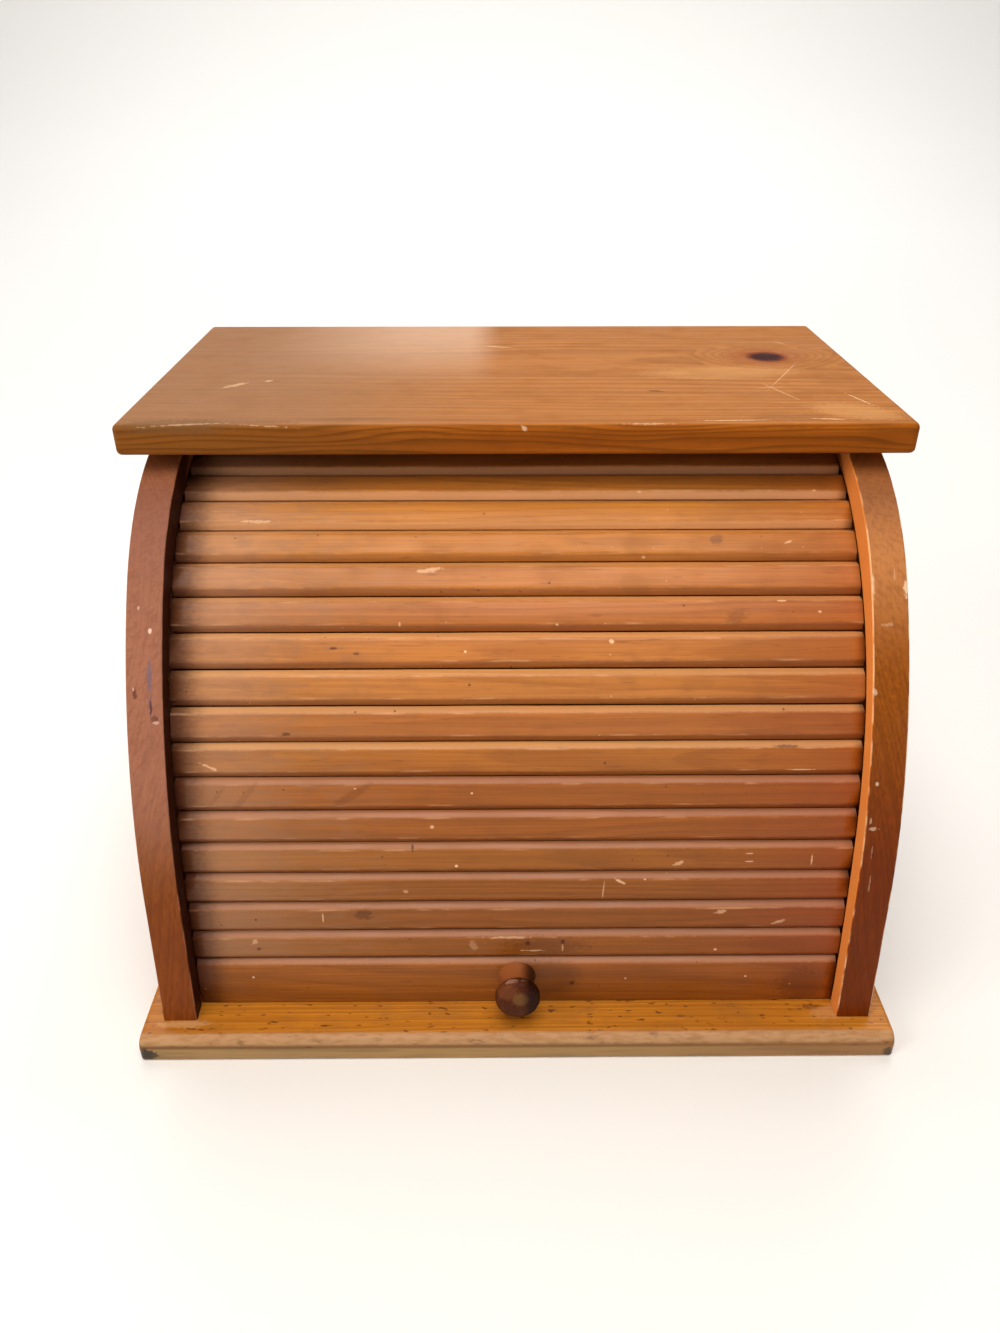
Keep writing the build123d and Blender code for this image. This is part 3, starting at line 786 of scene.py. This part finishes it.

# %% [markdown]
# Every slat came from another stick of pine, so each has its own tones of early and late wood, listed
# from the top slat down; the tones also grow darker towards the bottom. Its larger marks follow by name:
# pale chips and scratches first, and then dark stains and holes. A mark lies so many millimetres along the
# slat from its middle, and so many up.

# %% Slat tones and marks
slat_tones = [
    ("#a8662c", "#864c1c"), ("#c67c32", "#9c5c22"), ("#c07a2c", "#98581c"), ("#bf772b", "#98581d"),
    ("#bb7434", "#985a26"), ("#b46c30", "#905020"), ("#bb763a", "#955626"), ("#ba773a", "#935726"),
    ("#ad6830", "#884c20"), ("#a76524", "#824616"), ("#9a5416", "#773f0e"), ("#98561c", "#744012"),
    ("#985a1c", "#744211"), ("#8f541a", "#6e3c10"), ("#8b4f1b", "#693b10"), ("#8d521a", "#6b3d10"),
]
pale_marks = {
    "slat_02": [(69, -6.5, 3, 1.6, 0, 0.6, 0.6), (167, -6, 3, 1.6, 0, 0.6, 0.6)],
    "slat_03": [(-143, -6, 22, 2, 0, 1.3, 0.5)],
    "slat_04": [(148, 0, 7, 2, 20, 0.9, 0.6), (69, -8, 3, 2, 0, 0.6, 0.6)],
    "slat_05": [(-47, 4, 15, 3.6, 6, 1.3, 0.6)],
    "slat_06": [(142, 6, 6, 1.4, 0, 0.6, 0.7), (21, -6.5, 2, 1.4, 0, 0.5, 0.7), (162, 0, 2.5, 2, 0, 0.8, 0.6),
                (-63, -6, 1.4, 3, 0, 0.6, 0.6)],
    "slat_07": [(50, 4, 3.4, 3, -30, 0.6, 0.85), (-28, -1, 1.8, 2, 0, 0.4, 0.9)],
    "slat_10": [(-166, -3, 13, 1.8, -25, 1.5, 0.55), (152, -6, 18, 1.1, 0, 1.0, 0.6)],
    "slat_11": [(-88, 4, 2, 1.4, 0, 0.5, 0.5), (-25, 1, 1.6, 1.6, 0, 0.4, 0.8)],
    "slat_12": [(-47, 1, 2.4, 3, 20, 0.9, 0.6)],
    "slat_13": [(-34, -4, 2.2, 2.4, 0, 0.3, 0.95), (89, -3, 8, 3, 25, 1.2, 0.5),
                (128, 3, 5, 1.2, 0, 0.7, 0.6), (128, -2, 6, 1.2, 0, 0.7, 0.6),
                (163, -1, 1.4, 9, 0, 0.7, 0.5)],
    "slat_14": [(57, 5, 8, 2.2, -28, 1.0, 0.6), (71, 6, 2, 1.4, 0, 0.4, 0.6), (-63, -1, 4, 3, 0, 1.2, 0.35),
                (48, -1, 0.9, 15, -4, 0.5, 0.45)],
    "slat_15": [(115, 4, 8, 3, 10, 1.2, 0.45), (149, -3, 9, 2.4, 20, 1.3, 0.4),
                (-110, 1, 1.2, 8, 0, 0.6, 0.5)],
    "slat_16": [(114, -3, 2.2, 2.2, 0, 0.4, 0.7), (9, -3, 16, 1.4, 0, 1.5, 0.5),
                (26, -1, 1.2, 6, 0, 1.2, 0.4), (-4, 6, 30, 1.6, 0, 1.6, 0.4),
                (-25, 0, 5, 9, 8, 1.3, 0.2), (-150, 4, 6, 3, 40, 1.3, 0.35)],
}
dark_marks = {
    "slat_02": [(-9, 7, 3, 3, 0, 0.4, 0.8)],
    "slat_04": [(109, 2, 9, 8, 0, 0.8, 0.45)],
    "slat_06": [(117, -3, 14, 9, 20, 0.9, 0.3)],
    "slat_07": [(-98, 1, 5, 2, 0, 0.7, 0.7), (-86, -2, 4, 2.4, 0, 0.7, 0.6)],
    "slat_09": [(-124, -5, 6, 2.6, 0, 0.8, 0.7)],
    "slat_10": [(143, 7, 16, 2, 0, 1.2, 0.6)],
    "slat_11": [(-90, 0, 32, 7, 32, 0.4, 0.25), (-148, -1, 30, 5, 50, 0.4, 0.16),
                (-164, -2, 22, 4, 50, 0.4, 0.14)],
    "slat_13": [(-58, 7, 1.8, 5, 0, 0.4, 0.8)],
    "slat_15": [(-87, 3, 12, 9, 0, 1.0, 0.5)],
    "slat_16": [(6, 2, 4, 4.4, 0, 0.3, 0.95), (26, 3, 3, 5.4, 0, 0.3, 0.95), (-148, -1, 3, 2.6, 0, 0.6, 0.7),
                (16, 0, 60, 16, 0, 0.9, 0.35)],
}
print("marks by name on", len(set(pale_marks) | set(dark_marks)), "slats")

# %% [markdown]
# The slats' layers change on the way down. A painted highlight lies on the upper chamfer: golden on the
# first ten slats and browner on the lower ones, and stronger further down. The lower chamfer has a pale
# painted reflection on the top three slats, and painted shade from the fourth one down. A painted
# reflection greys the slats towards the left, and the right end is redder. Painted shadow from the left
# panel darkens the left end.

# %% Slats
golden_slats = 10
# Strengths of painted shade and painted reflection on the lower chamfer
lower_chamfer_shade = (0.0, 0.0, 0.0, 0.2, 0.38)    # by slat from the top, and the last value holds for the rest
lower_chamfer_reflection = (0.5, 0.5, 0.35, 0.0, 0.0)
for order, name in enumerate(slat_names):
    seed = 1.0 + 1.37 * order
    down = order / (len(slat_names) - 1)
    pith = (20 * sin(2.1 * order), -34 - 22 * cos(1.7 * order))    # another part of the log
    piece = softened(name, places[name], seed)
    layers = [
        # painted reflection greying the left of the slat
        ("#9a7856", along_slat(-40, -200, 0.30)),
        ("#84360c", along_slat(70, 190, 0.3 + 0.32 * down)),
        # pinkish painted reflection near the left end, weaker further down
        ("#b58a72", along_slat(-110, -160, 0.3 - 0.2 * down)),
        ("#8a6248", where(0.35, streaks(70, 240, seed + 21, 4.0, 0.46, 0.62), left_reflection)),
        # darker and yellower towards the bottom and the right
        ("#f3e9c4", along_slat(-220, 100, 0.95 * down), "MULTIPLY"),
        # painted shade on the lower chamfer
        ("#5c270a", chamfer_mask(slat_half, -1, lower_chamfer_shade[min(order, 4)])),
        # pale painted reflection on the lower chamfer
        ("#e0a878", chamfer_mask(slat_half, -1, lower_chamfer_reflection[min(order, 4)])),
        # painted highlight on the upper chamfer
        ("#e6ae72" if order < golden_slats else "#ad7759", chamfer_mask(slat_half, 1, 0.15 + 0.4 * down)),
        # painted shadow of the left panel on the left end
        ("#3c1206", along_slat(-164, -184, 0.85)),
        ("#6a3418", darker_in_gaps),
        ("#4a220e", specks(19, 1.6, 0.5, seed + 5, 0.7)),
    ]
    bare = [("#e0ac80", where(0.3, slat_arris, streaks(50, 200, seed, 4.0, 0.5, 0.72))),
            ("#e2b88e", specks(24, 0.9, 0.5, seed, 0.5))]
    if name in dark_marks:
        layers.append(("#45200f", slat_marks(dark_marks[name])))
    if name in pale_marks:
        bare.append(("#e2b68e", slat_marks(pale_marks[name])))
    paint(piece, varnished_pine(
        f"varnished_pine_{name}", places[name], *slat_tones[order], pith, (0.6, 0.3), ring=2.6, seed=seed,
        contrast=0.38, dull="#8a5526", patch=0.25, layers=layers, bare=bare))
    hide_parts(name)
    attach(piece, f"{name}_piece")
print(len(slat_names), "slats softened and painted")

# %% [markdown]
# The lead rail is the tambour's taller last member. It carries the knob, and hands have darkened it. A
# painted shadow of the knob falls to its right, and painted shadow darkens its left end. Only its upper
# arris is chamfered, and the chamfer carries a painted highlight about as pale as those of the lowest slats.

# %% Lead rail
rail_place = places["lead_rail"]
rail_half = 15.0 * mm             # of its height
rail_face = 8.5                   # of its face above its back, in mm
# The first mark is a painted shadow of the knob; the others are dark marks on the rail.
rail_marks_and_knob_shadow = [((14, 2, rail_face), (44, 28, 8), 0, 0.3, 0.4), ((32, -2, rail_face), (3, 3, 5), 0, 0.5, 0.9),
              ((166, -4, rail_face), (26, 22, 8), 0, 0.9, 0.35)]
rail = softened("lead_rail", rail_place, 31.0)
rail_layers = [
    ("#7c2f10", along_slat(110, 190, 0.35)),
    ("#f3e0b0", along_slat(-100, 190, 0.8), "MULTIPLY"),
    # painted highlight on the upper chamfer
    ("#b57f5f", chamfer_mask(rail_half, 1, 0.6)),
    # painted shadow of the left panel on the left end
    ("#3c1206", along_slat(-164, -184, 0.85)),
    ("#3a1808", marked(*rail_marks_and_knob_shadow)),
    ("#4a220e", specks(19, 1.6, 0.5, 36.0, 0.7)),
]
paint(rail, varnished_pine(
    "varnished_pine_lead_rail", rail_place, "#93541a", "#703c0e", (25, -60), (1.0, 0.6), ring=3.6,
    seed=31.0, contrast=0.35, dull="#5f3413", patch=0.3, layers=rail_layers,
    bare=[("#f0d2b0", specks(24, 1.4, 0.4, 31.0, 0.6))]))
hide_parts("lead_rail")
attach(rail, "lead_rail_with_knob")
print("lead rail leans", round(rail_place[1][0] * 180 / pi, 1), "degrees")

# %% [markdown]
# The knob was turned from a harder, closer wood. Its grain runs out along its axis, so the rings show as
# arcs on the dome. Hands have blackened the head, while the neck behind it has kept its orange varnish.
# Painted shade darkens the knob's right side, and painted highlights lie on the head's middle, its upper
# left and its upper rim.

# %% Knob
knob_rise = 3 * mm                # of the knob's axis above the middle of the rail
head_start = 22.7                 # of the head out from the rail's back, in mm
lean = rail_place[1][0]
knob_out = Vector((0, -sin(lean), cos(lean)))
knob_up = Vector((0, cos(lean), sin(lean)))
knob_turn = Matrix((knob_out, Vector((1, 0, 0)), knob_up)).transposed().to_euler()
knob_place = (rail_place[0] + knob_rise * knob_up, tuple(knob_turn))
knob_layers = [
    ("#8e502a", where(0.9, span("X", head_start + 1.2, head_start - 0.8))),    # the neck and foot
    # painted highlight on the middle of the head
    ("#7c5c30", marked(((31, 1.5, 3), (10, 9, 8), 0, 0.4, 0.42))),
    # painted highlight on the head's upper left
    ("#7a4426", marked(((28, -6, 7), (12, 13, 10), 0, 0.2, 0.4))),
    ("#1c0a06", where(0.85, span("Y", 1, 8))),    # painted shade on the right side
]
paint(nodes["knob"], varnished_pine(
    "stained_turned_wood", knob_place, "#4e240e", "#321407", (9, -6), (4.0, 3.0), ring=2.4,
    seed=17.0, contrast=0.4, dull="#2c140c", patch=0.35, layers=knob_layers,
    # the bare mark is a pale painted highlight on the head's upper rim, laid as bare wood
    bare=[("#b98a72", marked(((26, -4, 11.8), (3, 15, 2.2), 0, 0.5, 0.4)))], shine=0.06, coat=0.02))
print("knob axis starts at", [round(v / mm, 1) for v in knob_place[0]])

# %% [markdown]
# The hidden pieces get honest plain finishes. The back is birch plywood with its face grain upright.

# %% Plywood back
back_low, back_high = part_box("back_panel")
ply_turn = Matrix(((0, 1, 0), (0, 0, -1), (-1, 0, 0))).transposed().to_euler()
plywood, ply_tree, ply_shader = new_material("birch_plywood")
ply_local = local_place(ply_tree, ((back_low + back_high) / 2, tuple(ply_turn)))
ply_rings = growth_rings(ply_tree, ply_local, (0, -300), (3, 1), 6, 3.0)
ply_fibres = soft_step(ply_tree, grain_noise(ply_tree, ply_local, 12, 500, 2.0, 3.0)["Fac"], 0.4, 0.62)
ply_colour = over(ply_tree, times(ply_tree, ply_rings, 0.5), linear("#c99a63"), linear("#a9763f"))
ply_colour = over(ply_tree, times(ply_tree, ply_fibres, 0.25), ply_colour, linear("#8d5f31"))
feed(ply_tree, ply_shader, {"Base Color": ply_colour, "Roughness": 0.6})
paint(nodes["back_panel"], plywood)
print("plywood painted")

# %% [markdown]
# The screws are bright zinc over steel and the dowels are beech. On pieces this small, one tone that
# wanders into another is enough.

# %% Screws and dowels


def mottled(name, light, dark, grain, roughness, metallic=0.0):
    """A plain material whose colour wanders a little between two tones."""
    material, tree, shader = new_material(name)
    wander = grain_noise(tree, add(tree, "TexCoord").outputs["Object"], grain, grain, 0.0, 3.0)["Fac"]
    colour = over(tree, wander, linear(light), linear(dark))
    feed(tree, shader, {"Base Color": colour, "Roughness": roughness, "Metallic": metallic})
    return material


zinc = mottled("zinc_plated_steel", "#b9b6ae", "#8f8d88", 400, 0.35, 1.0)
beech = mottled("beech", "#d9b184", "#b98a5c", 900, 0.6)
for name in ("base_screws", "back_screws", "knob_screw"):
    paint(nodes[name], zinc)
paint(nodes["top_dowels"], beech)
print("fasteners painted")

# %% [markdown]
# The tambour's backing is undyed cotton canvas, cut into one strip for each slat. Its plain weave is drawn
# as two crossed waves, and is dull all over. Real threads of such cloth are finer, and are drawn 1.1 mm
# apart so that they show. Each strip lies stretched and glued on its slat, so it is flat but for the
# slight rise and fall of the glue under it.

# %% Canvas backing
cloth_width = 330 * mm
cloth_cuts = 66                   # lengths that a strip is cut into, for the glue's rise and fall
cloth_depth = 0.4 * mm            # behind the slat's back, beyond which lies the cloth's free side
glue_rise = 0.12 * mm
thread = 1.1 * mm                 # from one thread to the next, coarser than real
waves_per_unit = 20 / (2 * pi)    # of a wave texture at scale 1
weave_scale = 1 / (2 * thread * waves_per_unit)
canvas, canvas_tree, canvas_shader = new_material("cotton_canvas")
canvas_place = add(canvas_tree, "TexCoord").outputs["Object"]
warp, weft = [add(canvas_tree, "TexWave", {"Vector": canvas_place, "Scale": weave_scale},
                  bands_direction=axis).outputs["Fac"] for axis in ("X", "Z")]
weave = times(canvas_tree, warp, weft)
canvas_tone = over(canvas_tree, weave, linear("#8f8266"), linear("#cbbd9b"))
canvas_bump = add(canvas_tree, "Bump", {"Height": weave, "Strength": 0.6, "Distance": 0.3 * mm})
feed(canvas_tree, canvas_shader,
     {"Base Color": canvas_tone, "Normal": canvas_bump.outputs["Normal"], "Roughness": 0.9})


def cloth_strip(name, place, seed):
    """A strip of canvas where the construction model has it, with the rise and fall of the glue."""
    bm = clean_copy(name)
    cut_across(bm, cloth_width / 2, cloth_cuts)
    outwards = slat_to_frame(place)
    into_local = outwards.inverted()
    out_of_face = outwards.to_3x3() @ Vector((0, 0, 1))
    for v in bm.verts:
        if (into_local @ v.co).z < -cloth_depth:
            v.co += out_of_face * (glue_rise * noise.noise(Vector((v.co.x * 60, v.co.z * 60, seed))))
    return new_piece(f"{name}_canvas", bm)


for order, name in enumerate(slat_names + ["lead_rail"]):
    cloth = name.replace("slat_", "cloth_").replace("lead_rail", "lead_cloth")
    body = "lead_rail_with_knob" if name == "lead_rail" else f"{name}_piece"
    strip = cloth_strip(cloth, places[name], 50.0 + order)
    paint(strip, canvas)
    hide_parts(cloth)
    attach(strip, body)
